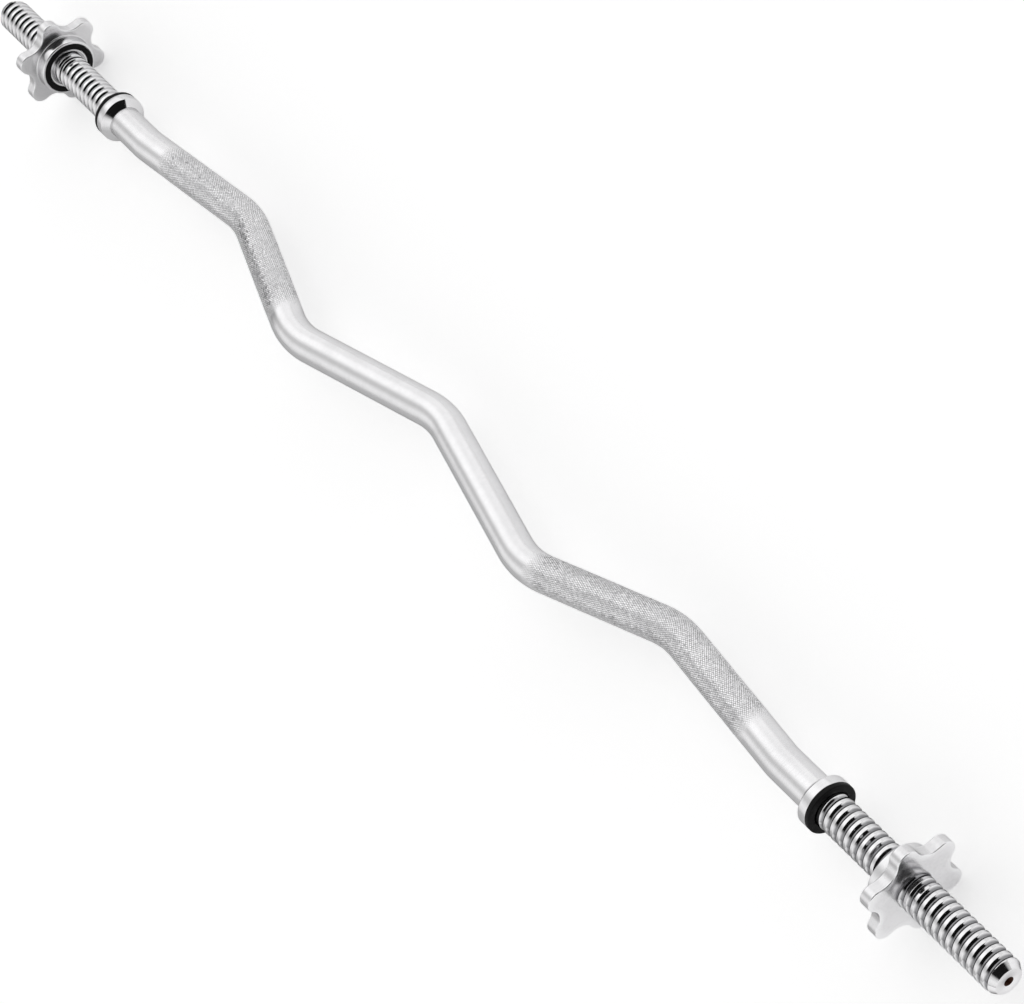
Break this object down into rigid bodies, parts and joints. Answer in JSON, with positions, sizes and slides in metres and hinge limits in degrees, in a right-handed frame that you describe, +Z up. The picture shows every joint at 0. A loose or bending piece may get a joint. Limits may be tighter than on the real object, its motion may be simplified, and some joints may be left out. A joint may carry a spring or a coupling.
{
  "type": "ez curl bar",
  "caption": "Zigzag chrome curl bar with knurled grips, fixed inner collars, coarse threaded plate sleeves and spin-lock star nuts with rubber rings.",
  "frame": {"origin": "on the floor, under the middle of the bar and the axis of its two sleeves", "axes": "+X along the sleeves' axis to the right end, +Z up from the floor, with two lobes of each star nut on the floor; the plane of the bends is rolled 20 degrees about X, as the bar sits in its nuts in the picture"},
  "size_m": [1.2, 0.072, 0.0645],
  "materials": {
    "bar": "satin bright chrome plate on steel, diamond knurl on the grips",
    "collar": "polished chrome plate",
    "pin": "plain spring steel",
    "washer": "matte black rubber",
    "star_nut": "chrome plated casting, brushed faces",
    "nut_ring": "matte dark grey rubber"
  },
  "bodies": {
    "bar": {"bar": "bar", "right_inner_collar": "collar", "right_collar_pin": "pin", "right_collar_ring": "washer", "left_inner_collar": "collar", "left_collar_pin": "pin", "left_collar_ring": "washer"},
    "right_ring": {"right_nut_ring": "nut_ring"},
    "right_nut": {"right_star_nut": "star_nut"},
    "left_ring": {"left_nut_ring": "nut_ring"},
    "left_nut": {"left_star_nut": "star_nut"}
  },
  "joints": [
    {"name": "right_nut_travel", "type": "slide", "parent": "bar", "child": "right_ring", "axis": [1, 0, 0], "range_m": [-0.06071, 0.10501]},
    {"name": "right_nut_spin", "type": "hinge", "parent": "right_ring", "child": "right_nut", "pos_m": [0.4975, 0, 0.03225], "axis": [1, 0, 0], "range_deg": [-3441.26, 5952.76]},
    {"name": "left_nut_travel", "type": "slide", "parent": "bar", "child": "left_ring", "axis": [-1, 0, 0], "range_m": [-0.07171, 0.09401]},
    {"name": "left_nut_spin", "type": "hinge", "parent": "left_ring", "child": "left_nut", "pos_m": [-0.5085, 0, 0.03225], "axis": [-1, 0, 0], "range_deg": [-4064.88, 5329.13]}
  ],
  "couplings": [
    {"joint": "right_nut_travel", "follows": "right_nut_spin", "m_per_rad": 0.0010106},
    {"joint": "left_nut_travel", "follows": "left_nut_spin", "m_per_rad": 0.0010106}
  ]
}
